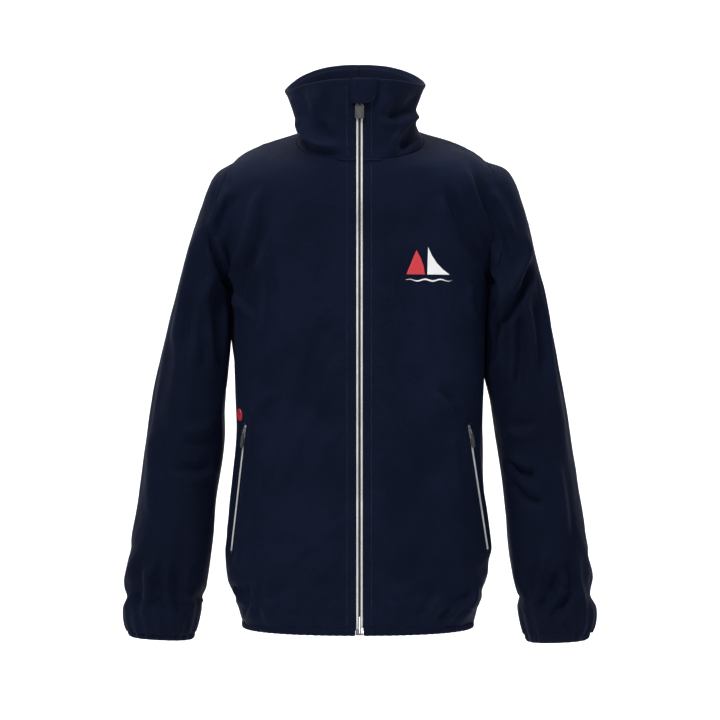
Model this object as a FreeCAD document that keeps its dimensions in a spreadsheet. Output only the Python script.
import FreeCAD, Part

import math
import os

import Sketcher

# Foul weather jacket, zipped up and hanging straight.
#
# Sizes in millimetres. +X is the wearer's left, the front faces -Y and +Z is up.
# Heights are given above the hem and depths behind the side seams. at() takes them to
# the part's frame, whose origin is under the crown of the hanging loop.
# The trunk, the collar and the sleeves are each a form: a ruled loft through
# superelliptic rings. A layer of cloth is what lies between two insets of one form.

DIMENSIONS = {
    # hanging loop; its height and depth are those of the underside of its crown
    "loop_height": 672.0,
    "loop_depth": 44.0,
    "loop_width": 70.0,
    "loop_strap": 6.0,
    "loop_thick": 1.2,
    "loop_reach": 5.0,
    "label_width": 44.0,
    "label_tall": 15.0,
    "label_height": 652.0,
    "label_depth": 51.6,
    "label_thick": 0.6,
    # layers, each counted inwards from the outer surface
    "ring_squareness": 2.3,
    "panel_thick": 3.0,
    "bag_inset": 6.2,
    "bag_thick": 1.0,
    "lining_inset": 7.6,
    "trim_lining_inset": 4.6,
    "lining_thick": 0.8,
    "sleeve_lining_thick": 1.5,
    "body_gap": 0.4,
    "through": 2.0,
    # bands, seams and fold lines
    "hem_band": 9.0,
    "top_limit": 760.0,
    "side_limit": 230.0,
    "depth_limit": 200.0,
    "side_seam": 10.0,
    "leaf_back": -35.0,
    "fold_low": 110.0,
    "fold_high": 66.0,
    "fold_high_height": 690.0,
    "armhole_side": 164.0,
    "armhole_low": 380.0,
    # the straight centre front
    "front_low": -112.0,
    "front_high": -98.0,
    "front_high_height": 690.0,
    # main zip, across from the middle and inwards from the surface
    "zip_edge": 6.2,
    "web_room": 0.5,
    "tooth_width": 2.6,
    "tooth_inset": 0.8,
    "tooth_thick": 2.2,
    "tape_width": 15.0,
    "tape_inset": 3.3,
    "tape_thick": 0.7,
    "tape_low": 10.0,
    "tape_high": 678.0,
    "teeth_low": 25.0,
    "teeth_high": 670.0,
    "stop_tall": 3.0,
    "stop_gap": 0.3,
    "stop_proud": 0.2,
    "stop_wider": 0.4,
    "pin_wide": 1.8,
    "pin_foot": 2.6,
    "pin_thinner": 0.1,
    "box_split": 0.3,
    "box_floor": 2.0,
    "box_step": 1.0,
    "box_deeper": 1.3,
    "box_proud": 0.3,
    "box_low": 0.6,
    "box_high": 9.5,
    "slider_rest": 664.5,
    "slider_length": 11.0,
    "slider_half": 4.6,
    "slider_top_proud": 0.6,
    "slider_top_thick": 1.0,
    "slider_low_thick": 0.9,
    "slider_low_gap": 0.4,
    "slider_web_half": 0.22,
    "slider_web_length": 3.0,
    "flange_low": 2.6,
    "flange_tall": 2.3,
    "flange_gap": 0.4,
    "crown_sunk": 0.1,
    "main_crown_half": 1.0,
    "main_crown_low": 7.3,
    "main_crown_high": 2.0,
    "main_crown_out": 4.1,
    "main_pivot_drop": 6.2,
    "main_pivot_out": 3.0,
    "main_pin_hole": 0.7,
    "main_pin_radius": 0.6,
    "main_arm_near": 1.3,
    "pull_length": 17.0,
    "pull_width": 11.0,
    "pull_thick": 2.4,
    "pull_neck": 3.0,
    "pull_round": 1.6,
    "arm_wide": 1.0,
    "arm_past_pin": 0.9,
    "arm_overlap": 0.5,
    "arm_thinner": 0.2,
    "pin_overlap": 0.8,
    "garage_hinge": 12.0,
    "garage_reach": 33.0,
    "garage_low": 660.5,
    "garage_tall": 29.0,
    "garage_out": 6.0,
    "garage_thick": 1.2,
    "garage_round": 18.0,
    "garage_root_out": 0.4,
    # hand pockets; the slider runs from top to low
    "pocket_top_height": 252.0,
    "pocket_top_side_left": 138.0,
    "pocket_top_side_right": 144.0,
    "pocket_low_height": 106.0,
    "pocket_low_side": 161.5,
    "pocket_overrun": 8.0,
    "pocket_slot_half": 4.2,
    "pocket_tape_width": 7.0,
    "pocket_tape_inset": 3.7,
    "pocket_tooth_width": 1.8,
    "pocket_slider_length": 9.0,
    "pocket_slider_half": 3.4,
    "pocket_pull_length": 15.0,
    "pocket_pull_width": 6.0,
    "pocket_pull_thick": 1.8,
    "pocket_slot_back": 8.0,
    "pocket_slot_deep": 16.0,
    "pocket_room_wider": 5.0,
    "pocket_room_back": 5.6,
    "pocket_room_deep": 2.1,
    "pocket_web": 0.4,
    "pocket_tape_thick": 0.6,
    "pocket_tooth_inset": 0.8,
    "pocket_tooth_thick": 1.8,
    "pocket_end_gap": 0.3,
    "pocket_flange_gap": 0.3,
    "pocket_crown_half": 0.9,
    "pocket_crown_low": 5.6,
    "pocket_crown_high": 1.0,
    "pocket_crown_out": 3.3,
    "pocket_pivot_drop": 4.7,
    "pocket_pivot_out": 2.2,
    "pocket_pin_hole": 0.6,
    "pocket_pin_radius": 0.5,
    "pocket_arm_near": 1.2,
    "bag_side": 114.0,
    "bag_low": 92.0,
    "bag_tall": 176.0,
    # round badge above the wearer's right pocket
    "badge_side": 150.0,
    "badge_height": 271.0,
    "badge_radius": 8.0,
    "badge_thick": 1.0,
    "badge_out": 0.3,
    "room_spare": 0.2,
}

# Rings of the trunk and collar: name, height in front, height behind, depth behind, half width.
TRUNK_RINGS = [
    ("hem", 0, 0, 100, 146),
    ("seat", 100, 100, 108, 166.5),
    ("waist", 258, 258, 104, 157.5),
    ("chest", 405, 412, 110, 164),
    ("scye", 455, 468, 110, 175),
    ("yoke", 500, 520, 106, 184),
    ("tip", 560, 618, 78, 166),
    ("slope", 577, 634, 70, 142),
    ("neck", 595, 650, 60, 80),
]
COLLAR_RINGS = [
    ("neck", 595, 650, 60, 80),
    ("low", 622, 668, 61, 76),
    ("high", 655, 700, 65, 80),
    ("rim", 686, 727, 72, 90),
]
# Rings of a sleeve: name, then how far out and how high its nearest point to the body is,
# the same for its furthest point, and its half depth.
SLEEVE_RINGS = [
    ("seam", 164.4, 408, 164.4, 592, 55),
    ("cap", 165.2, 398, 206, 543, 61),
    ("bicep", 166.5, 378, 224, 470, 63),
    ("upper", 168, 345, 242, 398, 61),
    ("elbow", 171, 289, 264, 304, 58),
    ("below", 177, 225, 275, 238, 56),
    ("forearm", 184, 161, 285, 173, 53),
    ("wrist", 191, 97, 295, 109, 50),
    ("gather", 200, 38, 301, 49, 46),
    ("band", 206, 3, 300.5, 13, 40),
]
CUFF_RINGS = [
    ("band", 206, 3, 300.5, 13, 40),
    ("cuff", 213, -15, 296, -11, 35),
]
RING_POINTS = 20
SLEEVE_SPLIT = 5
SIDES = {"left": 1, "right": -1}
X_AXIS = FreeCAD.Vector(1, 0, 0)
Y_AXIS = FreeCAD.Vector(0, 1, 0)
Z_AXIS = FreeCAD.Vector(0, 0, 1)

os.makedirs("parts", exist_ok=True)
doc = FreeCAD.newDocument("foul_weather_jacket")
sheet = doc.addObject("Spreadsheet::Sheet", "Dimensions")
subparts = []


def fill_sheet():
    """Give every driving dimension a cell of its own, with its name as the alias."""
    cells = dict(DIMENSIONS)
    for form, rings in (("trunk", TRUNK_RINGS), ("collar", COLLAR_RINGS)):
        for name, front, back, depth, half in rings:
            cells[f"{form}_{name}_front"] = front
            cells[f"{form}_{name}_back"] = back
            cells[f"{form}_{name}_depth"] = depth
            cells[f"{form}_{name}_half"] = half
    for form, rings in (("sleeve", SLEEVE_RINGS), ("cuffs", CUFF_RINGS)):
        for name, near, low, far, high, half in rings:
            cells[f"{form}_{name}_near"] = near
            cells[f"{form}_{name}_low"] = low
            cells[f"{form}_{name}_far"] = far
            cells[f"{form}_{name}_high"] = high
            cells[f"{form}_{name}_half"] = half
    for row, (name, value) in enumerate(cells.items(), start=1):
        sheet.set(f"A{row}", name)
        sheet.set(f"B{row}", str(value))
        sheet.setAlias(f"B{row}", name)
    doc.recompute()


def dim(name):
    return float(getattr(sheet, name))


def at(side, depth, height):
    """A place given from the hem and the side seams, in the part's frame."""
    return FreeCAD.Vector(side, depth - dim("loop_depth"), height - dim("loop_height"))


def front_depth(height):
    """Depth of the straight centre front at a height."""
    low = dim("front_low")
    return low + (dim("front_high") - low) * height / dim("front_high_height")


def fold_side(height):
    """Distance of a front's fold line from the middle at a height."""
    low = dim("fold_low")
    return low + (dim("fold_high") - low) * height / dim("fold_high_height")


def keep(obj, label):
    """Make an object one of the jacket's sub-parts, under its own name."""
    obj.Label = label
    subparts.append(obj)
    return obj


def bind(obj, **sizes):
    """Bind properties of an object to expressions over the sheet."""
    for name, expression in sizes.items():
        obj.setExpression(name.replace("__", "."), expression)


# ---- forms ---------------------------------------------------------------------------

def ring_object(centre, across, along, half_across, half_along):
    """A closed superelliptic ring about centre, in the plane of two unit vectors."""
    power = 2.0 / dim("ring_squareness")
    points = []
    for step in range(RING_POINTS):
        turn = 2 * math.pi * step / RING_POINTS
        wide, deep = math.cos(turn), math.sin(turn)
        wide = math.copysign(abs(wide) ** power, wide) * half_across
        deep = math.copysign(abs(deep) ** power, deep) * half_along
        points.append(centre + across * wide + along * deep)
    curve = Part.BSplineCurve()
    curve.interpolate(points, PeriodicFlag=True)
    ring = doc.addObject("Part::Feature", "ring")
    ring.Shape = Part.Wire(curve.toShape())
    return ring


def trunk_ring(form, name, inset, drop):
    """A ring through the front and back points of one trunk or collar station."""
    height = dim(f"{form}_{name}_front")
    front = at(0, front_depth(height), height)
    back = at(0, dim(f"{form}_{name}_depth"), dim(f"{form}_{name}_back"))
    centre = (front + back) * 0.5 - Z_AXIS * drop
    reach = front.distanceToPoint(back) / 2
    along = (back - front).normalize()
    half = dim(f"{form}_{name}_half")
    return ring_object(centre, X_AXIS, along, half - inset, reach - inset)


def sleeve_ring(form, name, side, inset, shift):
    """A ring of a sleeve station, shifted along the sleeve."""
    near = at(side * dim(f"{form}_{name}_near"), 0, dim(f"{form}_{name}_low"))
    far = at(side * dim(f"{form}_{name}_far"), 0, dim(f"{form}_{name}_high"))
    reach = near.distanceToPoint(far) / 2
    across = (far - near).normalize()
    down = Y_AXIS.cross(across) * side
    centre = (near + far) * 0.5 + down * shift
    half = dim(f"{form}_{name}_half")
    return ring_object(centre, across, Y_AXIS, reach - inset, half - inset)


def loft(label, rings):
    """A ruled solid through rings."""
    form = doc.addObject("Part::Loft", label)
    form.Sections = rings
    form.Solid = True
    form.Ruled = True
    return form


def trunk_form(form, stations, inset, sink, through):
    """A trunk or collar form set in by inset and sunk; through runs it past both ends."""
    names = [station[0] for station in stations]
    rings = [trunk_ring(form, name, inset, sink) for name in names]
    if through:
        rings.insert(0, trunk_ring(form, names[0], inset, sink + dim("through")))
        rings.append(trunk_ring(form, names[-1], inset, -dim("through")))
    return loft(f"{form}_form", rings)


def sleeve_form(form, stations, side, inset, through):
    """A sleeve or cuff form set in by inset; through runs it past both ends.

    It turns by a right angle from armhole to cuff, so a long one is two lofts in one.
    """
    names = [station[0] for station in stations]
    rings = [sleeve_ring(form, name, side, inset, 0) for name in names]
    if through:
        rings.insert(0, sleeve_ring(form, names[0], side, inset, -dim("through")))
        rings.append(sleeve_ring(form, names[-1], side, inset, dim("through")))
    if len(names) <= SLEEVE_SPLIT:
        return loft(f"{form}_form", rings)
    halves = (rings[:SLEEVE_SPLIT], rings[SLEEVE_SPLIT - 1:])
    return fuse(f"{form}_form", *[loft(f"{form}_half", half) for half in halves])


def cut(label, base, *tools):
    """The base without each of the tools."""
    for tool in tools:
        result = doc.addObject("Part::Cut", label)
        result.Base = base
        result.Tool = tool
        base = result
    return base


def common(label, base, tool):
    """What the base and the tool share."""
    result = doc.addObject("Part::Common", label)
    result.Base = base
    result.Tool = tool
    return result


def fuse(label, *shapes):
    """One solid from several that touch."""
    result = doc.addObject("Part::MultiFuse", label)
    result.Shapes = list(shapes)
    return result


def trunk_layer(inset, thick):
    """One layer of the trunk, with both armholes cut out of it."""
    outer = trunk_form("trunk", TRUNK_RINGS, inset, inset, False)
    inner = trunk_form("trunk", TRUNK_RINGS, inset + thick, inset + thick, True)
    holes = [armhole_cutter(side) for side in SIDES.values()]
    return cut("trunk_layer", outer, inner, *holes)


def collar_layer(inset, thick):
    """One layer of the standing collar."""
    outer = trunk_form("collar", COLLAR_RINGS, inset, 0, False)
    inner = trunk_form("collar", COLLAR_RINGS, inset + thick, 0, True)
    return cut("collar_layer", outer, inner)


# ---- regions that split the layers into sub-parts --------------------------------------

def box(label, low, size, **bound):
    """A box from its low corner, given in the part's frame."""
    result = doc.addObject("Part::Box", label)
    result.Length, result.Width, result.Height = size
    result.Placement.Base = low
    bind(result, **bound)
    return result


def armhole_cutter(side):
    """All that lies outside a side's armhole plane."""
    tall = dim("top_limit") - dim("armhole_low")
    wide = dim("side_limit") - dim("armhole_side")
    start = dim("armhole_side") if side > 0 else -dim("side_limit")
    low = at(start, -dim("depth_limit"), dim("armhole_low"))
    return box("armhole", low, (wide, 2 * dim("depth_limit"), tall))


def front_region(side, near_low, near_high, far_low, far_high, low, high, behind="side_seam"):
    """The space before a depth, between two upright slanted planes.

    near and far are distances from the middle at the low and the high level.
    """
    region = doc.addObject("Part::Wedge", "front_region")
    ends = sorted((side * near_low, side * far_low))
    tops = sorted((side * near_high, side * far_high))
    region.Ymin, region.Ymax = 0, high - low
    region.Xmin, region.Xmax = ends
    region.X2min, region.X2max = tops
    region.Zmin, region.Z2min = 0, 0
    bind(region, Zmax="Dimensions.depth_limit", Z2max="Dimensions.depth_limit")
    region.Placement = FreeCAD.Placement(
        at(0, dim(behind), low), FreeCAD.Rotation(X_AXIS, 90)
    )
    return region


def leaf_region(side, low, high):
    """The part of a front that swings: from the zip to its fold line."""
    edge = dim("zip_edge")
    far = (fold_side(low), fold_side(high))
    return front_region(side, edge, edge, *far, low, high, "leaf_back")


def flank_region(side, near_gap, low, high):
    """The part of a front that stays: from its fold line to the side seam."""
    limit = dim("side_limit")
    near = fold_side(low) + near_gap
    near_high = fold_side(high) + near_gap
    return front_region(side, near, near_high, limit, limit, low, high)


def opening_region(low, high):
    """Both swinging fronts with the gap beside them, as one space."""
    near = fold_side(low) + dim("body_gap")
    near_high = fold_side(high) + dim("body_gap")
    return front_region(1, -near, -near_high, near, near_high, low, high, "leaf_back")


def back_region(low, high):
    """All that lies behind the side seams between two heights."""
    wide = 2 * dim("side_limit")
    corner = at(-dim("side_limit"), dim("side_seam"), low)
    return box("back_region", corner, (wide, dim("depth_limit"), high - low))


def band_region():
    """The height of the hem band, all round."""
    wide = 2 * dim("side_limit")
    deep = 2 * dim("depth_limit")
    corner = at(-dim("side_limit"), -dim("depth_limit"), 0)
    return box("band_region", corner, (wide, deep, 1), Height="Dimensions.hem_band")


# ---- small solids in a zip's frame -----------------------------------------------------

def rectangle(body, name, left, right, low, high, offset):
    """A rectangle sketched on the body's XY plane; each side is an expression."""
    sketch = body.newObject("Sketcher::SketchObject", name)
    plane = [f for f in body.Origin.OriginFeatures if f.Role == "XY_Plane"][0]
    sketch.AttachmentSupport = [(plane, "")]
    sketch.MapMode = "FlatFace"
    bind(sketch, AttachmentOffset__Base__z=offset)
    corners = [(-1, -1), (1, -1), (1, 1), (-1, 1)]
    for start in range(4):
        here = FreeCAD.Vector(*corners[start], 0)
        there = FreeCAD.Vector(*corners[(start + 1) % 4], 0)
        sketch.addGeometry(Part.LineSegment(here, there), False)
    for start in range(4):
        sketch.addConstraint(Sketcher.Constraint("Coincident", start, 2, (start + 1) % 4, 1))
        kind = "Vertical" if start % 2 else "Horizontal"
        sketch.addConstraint(Sketcher.Constraint(kind, start))
    for kind, corner, expression in (
        ("DistanceX", 0, left),
        ("DistanceY", 0, low),
        ("DistanceX", 2, right),
        ("DistanceY", 2, high),
    ):
        value = 1.0 if corner else -1.0
        index = sketch.addConstraint(Sketcher.Constraint(kind, -1, 1, corner, 1, value))
        sketch.setExpression(f"Constraints[{index}]", expression)
    return sketch


def block(body, name, left, right, low, high, offset, thick):
    """A rectangular pad on a body, sized by expressions over the sheet."""
    sketch = rectangle(body, name, left, right, low, high, offset)
    pad = body.newObject("PartDesign::Pad", f"{name}_pad")
    pad.Profile = sketch
    bind(pad, Length=thick)
    body.Tip = pad
    sketch.Visibility = False
    return pad


def round_corners(body, pad, corners, radius):
    """Round upright edges of a pad; each corner is its place in the body's XY plane."""
    doc.recompute()
    names = []
    for number, edge in enumerate(pad.Shape.Edges, start=1):
        for x, y in corners:
            if all(math.hypot(v.X - x, v.Y - y) < 0.01 for v in edge.Vertexes):
                names.append(f"Edge{number}")
    rounding = body.newObject("PartDesign::Fillet", f"{pad.Name}_round")
    rounding.Base = (pad, names)
    bind(rounding, Radius=radius)
    body.Tip = rounding


def new_body(label, placement):
    """A body whose X runs across a zip, Y up along it and Z out of the cloth."""
    body = doc.addObject("PartDesign::Body", label)
    body.Placement = placement
    return body


def frame_on(origin, up, out):
    """A placement with Z along out and Y as near to up as it can be."""
    out = FreeCAD.Vector(out).normalize()
    across = up.cross(out).normalize()
    upright = out.cross(across)
    matrix = FreeCAD.Matrix(
        across.x, upright.x, out.x, origin.x,
        across.y, upright.y, out.y, origin.y,
        across.z, upright.z, out.z, origin.z,
        0, 0, 0, 1,
    )
    return FreeCAD.Placement(matrix)


def main_frame(height):
    """A frame on the centre front at a height."""
    up = at(0, front_depth(dim("top_limit")), dim("top_limit")) - at(0, front_depth(0), 0)
    return frame_on(at(0, front_depth(height), height), up, X_AXIS.cross(up))


def trunk_point(side, height):
    """The point of the trunk's front surface at a distance from the middle and a height.

    It also returns the outward normal there. It is used where the rings are level.
    """
    names = [station[0] for station in TRUNK_RINGS]
    heights = [dim(f"trunk_{name}_front") for name in names]
    upper = next(n for n in range(1, len(heights)) if heights[n] >= height)
    share = (height - heights[upper - 1]) / (heights[upper] - heights[upper - 1])

    def between(field):
        start = dim(f"trunk_{names[upper - 1]}_{field}")
        return start + share * (dim(f"trunk_{names[upper]}_{field}") - start)

    power = dim("ring_squareness")
    middle = (front_depth(height) + between("depth")) / 2
    reach = (between("depth") - front_depth(height)) / 2
    ratio = abs(side) / between("half")
    deep = (1 - ratio ** power) ** (1 / power)
    slope_out = math.copysign(ratio ** (power - 1) / between("half"), side)
    slope_front = -(deep ** (power - 1)) / reach
    normal = FreeCAD.Vector(slope_out, slope_front, 0).normalize()
    return at(side, middle - reach * deep, height), normal


def pocket_line(side):
    """The line of a hand pocket: its top, its direction downwards, its length and its normal."""
    word = "left" if side > 0 else "right"
    top, out_top = trunk_point(side * dim(f"pocket_top_side_{word}"), dim("pocket_top_height"))
    low, out_low = trunk_point(side * dim("pocket_low_side"), dim("pocket_low_height"))
    run = low - top
    return top, FreeCAD.Vector(run).normalize(), run.Length, out_top + out_low


def pocket_frame(side):
    """A frame on a pocket's line, at its slider's rest."""
    top, down, length, out = pocket_line(side)
    across = down.cross(out).normalize()
    return frame_on(top, down * -1, across.cross(down))


# ---- sub-parts: trunk ------------------------------------------------------------------

def make_trunk():
    """Outer panels and hem elastic of the trunk."""
    layer = trunk_layer(0, dim("panel_thick"))
    band = common("hem_ring", layer, band_region())
    high = dim("top_limit")
    low = dim("hem_band")
    for name, side in SIDES.items():
        leaf = common("leaf", layer, leaf_region(side, low, high))
        keep(cut("front_leaf", leaf, tape_room(side)), f"front_panel_{name}")
        flank = common("flank", layer, flank_region(side, dim("body_gap"), low, high))
        keep(cut("front_flank", flank, *pocket_room(side)), f"side_panel_{name}")
        keep(common("band_leaf", band, leaf_region(side, 0, low)), f"hem_elastic_{name}")
    keep(common("back", layer, back_region(low, high)), "back_panel")
    keep(cut("band_rest", band, opening_region(0, low)), "hem_elastic_back")


def make_lining():
    """Inner panels of the trunk and the two pocket bags, open at their zips."""
    layer = trunk_layer(dim("lining_inset"), dim("lining_thick"))
    high = dim("top_limit")
    low = dim("hem_band")
    for name, side in SIDES.items():
        keep(common("lining", layer, leaf_region(side, low, high)), f"front_lining_{name}")
        flank = flank_region(side, dim("body_gap"), low, high)
        keep(common("lining", layer, flank), f"side_lining_{name}")
    keep(common("lining", layer, back_region(low, high)), "back_lining")
    pouch = trunk_layer(dim("bag_inset"), dim("bag_thick"))
    near = dim("bag_side")
    limit = dim("side_limit")
    low = dim("bag_low")
    high = low + dim("bag_tall")
    for name, side in SIDES.items():
        region = front_region(side, near, near, limit, limit, low, high)
        mouth = pocket_room(side)[0]
        keep(cut("open_pouch", common("pouch", pouch, region), mouth), f"pocket_bag_{name}")


def make_collar():
    """The standing collar: outer and inner layers, each in three pieces."""
    low = 0
    high = dim("top_limit")
    layers = (
        ("collar", collar_layer(0, dim("panel_thick"))),
        ("collar_lining", collar_layer(dim("trim_lining_inset"), dim("lining_thick"))),
    )
    for name, layer in layers:
        keep(cut("collar_rest", layer, opening_region(low, high)), f"{name}_back")
        for word, side in SIDES.items():
            part = common("collar_front", layer, leaf_region(side, low, high))
            keep(cut("collar_leaf", part, tape_room(side)), f"{name}_{word}")


def make_sleeves():
    """Both sleeves with their linings and elasticated cuffs."""
    thick = dim("panel_thick")
    inner = dim("trim_lining_inset")
    inner_thick = dim("sleeve_lining_thick")
    for name, side in SIDES.items():
        tube = sleeve_form("sleeve", SLEEVE_RINGS, side, 0, False)
        bore = sleeve_form("sleeve", SLEEVE_RINGS, side, thick, True)
        keep(cut("sleeve", tube, bore), f"sleeve_panel_{name}")
        tube = sleeve_form("sleeve", SLEEVE_RINGS, side, inner, False)
        bore = sleeve_form("sleeve", SLEEVE_RINGS, side, inner + inner_thick, True)
        keep(cut("sleeve_inside", tube, bore), f"sleeve_lining_{name}")
        tube = sleeve_form("cuffs", CUFF_RINGS, side, 0, False)
        bore = sleeve_form("cuffs", CUFF_RINGS, side, thick, True)
        keep(cut("cuff", tube, bore), f"cuff_elastic_{name}")


def make_neck_trims():
    """The hanging loop and a plain label inside the back of the collar."""
    half = dim("loop_width") / 2
    strap = dim("loop_strap")
    crown = box(
        "loop_crown", at(-half, dim("loop_depth") - dim("loop_thick") / 2, dim("loop_height")), (1, 1, 1),
        Length="Dimensions.loop_width", Width="Dimensions.loop_thick", Height="Dimensions.loop_strap",
    )
    ends = []
    for start in (-half, half - strap):
        corner = at(start, dim("loop_depth"), dim("loop_height") - strap / 2)
        ends.append(box("loop_end", corner, (strap, dim("loop_reach"), 1.5 * strap)))
    keep(fuse("loop", crown, *ends), "hanging_loop")
    corner = at(-dim("label_width") / 2, dim("label_depth"), dim("label_height"))
    label = box(
        "label", corner, (1, 1, 1),
        Length="Dimensions.label_width", Width="Dimensions.label_thick", Height="Dimensions.label_tall",
    )
    keep(label, "neck_label")


def make_badge():
    """The small round badge above the wearer's right pocket."""
    place, out = trunk_point(-dim("badge_side"), dim("badge_height"))
    badge = doc.addObject("Part::Cylinder", "badge")
    bind(badge, Radius="Dimensions.badge_radius", Height="Dimensions.badge_thick")
    badge.Placement = frame_on(place + out * dim("badge_out"), Z_AXIS, out)
    keep(badge, "round_badge")


# ---- sub-parts: main zip -----------------------------------------------------------------

def tape_room(side):
    """The space that a zip tape takes inside a front, with a little room to spare."""
    spare = dim("room_spare")
    frame = main_frame(0)
    inset = dim("tape_inset") - spare
    start = 0 if side > 0 else -(dim("tape_width") + 1)
    corner = frame.multVec(FreeCAD.Vector(start, 0, -inset - dim("tape_thick") - 2 * spare))
    room = box("tape_room", corner, (dim("tape_width") + 1, dim("top_limit"), dim("tape_thick") + 2 * spare))
    room.Placement.Rotation = frame.Rotation
    return room


def span(side, near, far):
    """Expressions for the left and right limits of what lies from near to far of the middle."""
    return (near, far) if side > 0 else (f"-({far})", f"-({near})")


def zip_strip(label, side, near, far, low, high, inset, thick):
    """A straight strip along the main zip, given by expressions in its own frame."""
    body = new_body(label, main_frame(0))
    left, right = span(side, near, far)
    block(body, "strip", left, right, low, high, f"-({inset}) - ({thick})", thick)
    return keep(body, label)


def make_main_zip():
    """Tapes, teeth, top stops, insertion pin and retainer box."""
    d = "Dimensions."
    web = f"{d}web_room"
    tooth = f"{d}web_room + {d}tooth_width"
    stop_low = f"{d}teeth_high + {d}stop_gap"
    for name, side in SIDES.items():
        zip_strip(
            f"zip_tape_{name}", side, web, f"{web} + {d}tape_width",
            f"{d}tape_low", f"{d}tape_high", f"{d}tape_inset", f"{d}tape_thick",
        )
        zip_strip(
            f"zip_teeth_{name}", side, web, tooth,
            f"{d}teeth_low", f"{d}teeth_high", f"{d}tooth_inset", f"{d}tooth_thick",
        )
        zip_strip(
            f"zip_top_stop_{name}", side, web, f"{tooth} + {d}stop_wider",
            stop_low, f"{stop_low} + {d}stop_tall",
            f"{d}tooth_inset - {d}stop_proud", f"{d}tooth_thick + 2 * {d}stop_proud",
        )
    zip_strip(
        "zip_insertion_pin", 1, web, f"{web} + {d}pin_wide",
        f"{d}box_low + {d}pin_foot", f"{d}teeth_low - {d}stop_gap",
        f"{d}tooth_inset + {d}pin_thinner", f"{d}tooth_thick - 2 * {d}pin_thinner",
    )
    body = new_body("zip_retainer_box", main_frame(0))
    back = f"-({d}tape_inset + {d}box_deeper)"
    deep = f"{d}tape_inset + {d}box_deeper + {d}box_proud"
    half = f"{d}slider_half"
    block(body, "box", f"-{half}", f"-{d}box_split", f"{d}box_low", f"{d}box_high", back, deep)
    lip_high = f"{d}box_low + {d}box_floor"
    block(body, "lip", f"-{d}box_step", half, f"{d}box_low", lip_high, back, deep)
    keep(body, "zip_retainer_box")


def slider_parts(body, prefix, half, length, tooth_room, tape_back):
    """Plates, web and flanges of a zip slider, about the body's origin."""
    d = "Dimensions."
    low, high = f"-{length} / 2", f"{length} / 2"
    sunk = f"{d}slider_top_proud - {d}slider_top_thick"
    block(body, f"{prefix}_top", f"-{half}", half, low, high, sunk, f"{d}slider_top_thick")
    low_face = f"-({tape_back} + {d}slider_low_gap + {d}slider_low_thick)"
    block(
        body, f"{prefix}_web", f"-{d}slider_web_half", f"{d}slider_web_half",
        f"{high} - {d}slider_web_length", high, low_face, f"-({low_face})",
    )
    block(body, f"{prefix}_low", f"-{half}", half, low, high, low_face, f"{d}slider_low_thick")
    for word, near, far in (("a", tooth_room, half), ("b", f"-{half}", f"-({tooth_room})")):
        block(
            body, f"{prefix}_flange_{word}", near, far, low, high,
            f"-{d}flange_low", f"{d}flange_tall",
        )


def slider_crown(body, prefix):
    """The bridge on a slider's front that carries its pull."""
    d = f"Dimensions.{prefix}_crown_"
    start = "Dimensions.slider_top_proud - Dimensions.crown_sunk"
    block(
        body, f"{prefix}_crown", f"-{d}half", f"{d}half", f"-{d}low", f"{d}high",
        start, f"{d}out - ({start})",
    )


def pivot_frame(frame, prefix):
    """The frame of a pull's pin, below its slider's middle and out of it."""
    offset = FreeCAD.Vector(0, -dim(f"{prefix}_pivot_drop"), dim(f"{prefix}_pivot_out"))
    return frame.multiply(FreeCAD.Placement(offset, FreeCAD.Rotation()))


def across_pin(placement, reach, radius, label):
    """A round bar across a pull's pivot."""
    pin = doc.addObject("Part::Cylinder", label)
    pin.Radius = radius
    pin.Height = 2 * reach
    turned = FreeCAD.Placement(FreeCAD.Vector(-reach, 0, 0), FreeCAD.Rotation(Y_AXIS, 90))
    pin.Placement = placement.multiply(turned)
    return pin


def pull_solid(label, placement, size, prefix):
    """A pull with two arms and a pin through its slider's crown, about its pivot."""
    d = "Dimensions."
    body = new_body(f"{label}_grip", placement)
    half = dim(f"{size}_width") / 2
    low = dim("pull_neck") + dim(f"{size}_length")
    thick = f"{d}{size}_thick"
    near = f"{d}{prefix}_arm_near"
    far = f"{near} + {d}arm_wide"
    grip = block(
        body, "grip", f"-{d}{size}_width / 2", f"{d}{size}_width / 2",
        f"-{d}pull_neck - {d}{size}_length", f"-{d}pull_neck", f"-{thick} / 2", thick,
    )
    round_corners(body, grip, [(-half, -low), (half, -low)], f"{d}pull_round")
    for word, left, right in (("a", near, far), ("b", f"-({far})", f"-({near})")):
        block(
            body, f"arm_{word}", left, right, f"-{d}pull_neck - {d}arm_overlap", f"{d}arm_past_pin",
            f"-{thick} / 2 + {d}arm_thinner", f"{thick} - 2 * {d}arm_thinner",
        )
    doc.recompute()
    reach = dim(f"{prefix}_arm_near") + dim("pin_overlap")
    pin = across_pin(placement, reach, dim(f"{prefix}_pin_radius"), f"{label}_pin")
    return keep(fuse(f"{label}_whole", body, pin), label)


def bored(label, body, placement, prefix):
    """A slider body with the pull's pin hole bored across its crown."""
    reach = dim("slider_half")
    hole = across_pin(placement, reach, dim(f"{prefix}_pin_hole"), f"{label}_hole")
    return keep(cut(f"{label}_whole", body, hole), label)


def make_main_slider():
    """The main slider and its ribbed pull."""
    d = "Dimensions."
    frame = main_frame(dim("slider_rest"))
    body = new_body("main_slider_body", frame)
    slider_parts(
        body, "main", f"{d}slider_half", f"{d}slider_length",
        f"{d}web_room + {d}tooth_width + {d}flange_gap", f"{d}tape_inset + {d}tape_thick",
    )
    slider_crown(body, "main")
    pivot = pivot_frame(frame, "main")
    bored("main_slider", body, pivot, "main")
    pull_solid("main_pull", pivot, "pull", "main")


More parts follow.
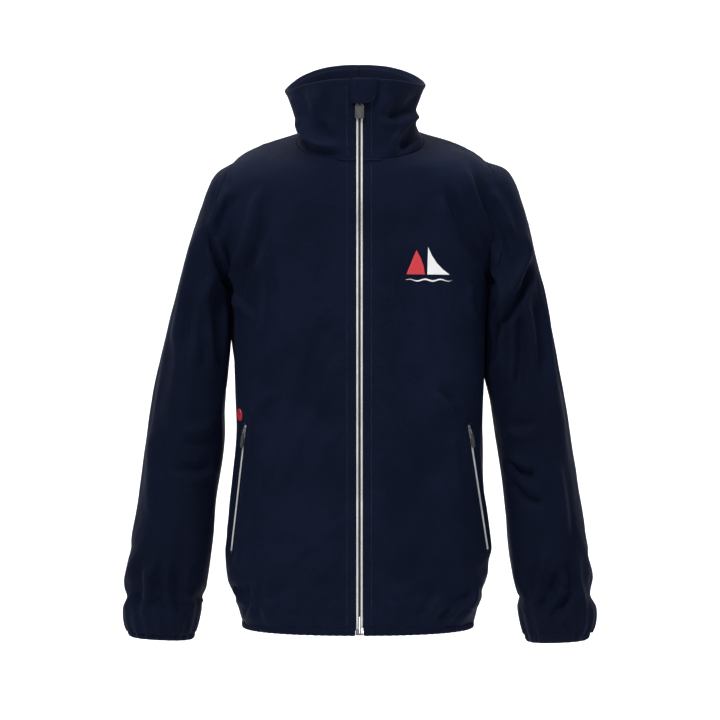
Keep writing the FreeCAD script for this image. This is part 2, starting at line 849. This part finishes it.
def make_zip_garage():
    """The flap that covers the slider, rounded at its free lower corner."""
    d = "Dimensions."
    body = new_body("zip_garage", main_frame(0))
    left = f"-{d}garage_hinge"
    right = f"{d}garage_reach - {d}garage_hinge"
    top = f"{d}garage_low + {d}garage_tall"
    flap = block(body, "flap", left, right, f"{d}garage_low", top, f"{d}garage_out", f"{d}garage_thick")
    free_corner = (dim("garage_reach") - dim("garage_hinge"), dim("garage_low"))
    round_corners(body, flap, [free_corner], f"{d}garage_round")
    block(
        body, "root", left, f"{left} + {d}garage_thick", f"{d}garage_low", top,
        f"{d}garage_root_out", f"{d}garage_out",
    )
    keep(body, "zip_garage")


# ---- sub-parts: hand pockets ---------------------------------------------------------------

def pocket_room(side):
    """The slot of a hand pocket and the space of its tapes."""
    frame = pocket_frame(side)
    length = pocket_line(side)[2]
    over = dim("pocket_overrun")
    half = dim("pocket_slot_half")
    wider = half + dim("pocket_room_wider")
    rooms = []
    for label, wide, back, deep in (
        ("slot", half, dim("pocket_slot_back"), dim("pocket_slot_deep")),
        ("tape_room", wider, dim("pocket_room_back"), dim("pocket_room_deep")),
    ):
        corner = frame.multVec(FreeCAD.Vector(-wide, -length - over, -back))
        room = box(f"pocket_{label}", corner, (2 * wide, length + 2 * over, deep))
        room.Placement.Rotation = frame.Rotation
        rooms.append(room)
    return rooms


def pocket_strips(label, side, width, inset, thick):
    """Two straight strips along a pocket zip, one on each side of its middle."""
    d = "Dimensions."
    web = f"{d}pocket_web"
    end = f"{d}pocket_overrun - {d}pocket_end_gap"
    length = pocket_line(side)[2]
    strips = []
    for word, sign in SIDES.items():
        body = new_body(f"{label}_{word}_strip", pocket_frame(side))
        left, right = span(sign, web, f"{web} + {width}")
        block(
            body, "strip", left, right, f"-{length} - ({end})", end, f"-({inset}) - ({thick})", thick,
        )
        strips.append(body)
    pair = doc.addObject("Part::Compound", label)
    pair.Links = strips
    return keep(pair, label)


def make_pockets():
    """Tapes, teeth, slider and pull of both hand pockets."""
    d = "Dimensions."
    for name, side in SIDES.items():
        pocket_strips(
            f"pocket_zip_tape_{name}", side, f"{d}pocket_tape_width",
            f"{d}pocket_tape_inset", f"{d}pocket_tape_thick",
        )
        pocket_strips(
            f"pocket_zip_teeth_{name}", side, f"{d}pocket_tooth_width",
            f"{d}pocket_tooth_inset", f"{d}pocket_tooth_thick",
        )
        frame = pocket_frame(side)
        body = new_body(f"pocket_slider_{name}_body", frame)
        slider_parts(
            body, "pocket", f"{d}pocket_slider_half", f"{d}pocket_slider_length",
            f"{d}pocket_web + {d}pocket_tooth_width + {d}pocket_flange_gap",
            f"{d}pocket_tape_inset + {d}pocket_tape_thick",
        )
        slider_crown(body, "pocket")
        pivot = pivot_frame(frame, "pocket")
        bored(f"pocket_slider_{name}", body, pivot, "pocket")
        pull_solid(f"pocket_pull_{name}", pivot, "pocket_pull", "pocket")


# ---- build, check and write ------------------------------------------------------------

def check_and_write():
    """Refuse a failed object or a bad shape, then write every sub-part."""
    doc.recompute()
    for obj in doc.Objects:
        if "Invalid" in obj.State or "Error" in obj.State:
            raise RuntimeError(f"{obj.Name} ({obj.Label}) failed: {obj.State}")
    for obj in subparts:
        shape = obj.Shape
        if shape.isNull() or not shape.isValid() or not shape.Solids:
            raise RuntimeError(f"{obj.Label} has no valid solid")
    for obj in subparts:
        obj.Shape.exportStep(f"parts/{obj.Label}.step")
        volume = obj.Shape.Volume / 1000
        print(f"{obj.Label}: {len(obj.Shape.Solids)} solid(s), {volume:.2f} cm3")


fill_sheet()
make_trunk()
make_lining()
make_collar()
make_sleeves()
make_neck_trims()
make_badge()
make_main_zip()
make_main_slider()
make_zip_garage()
make_pockets()
check_and_write()
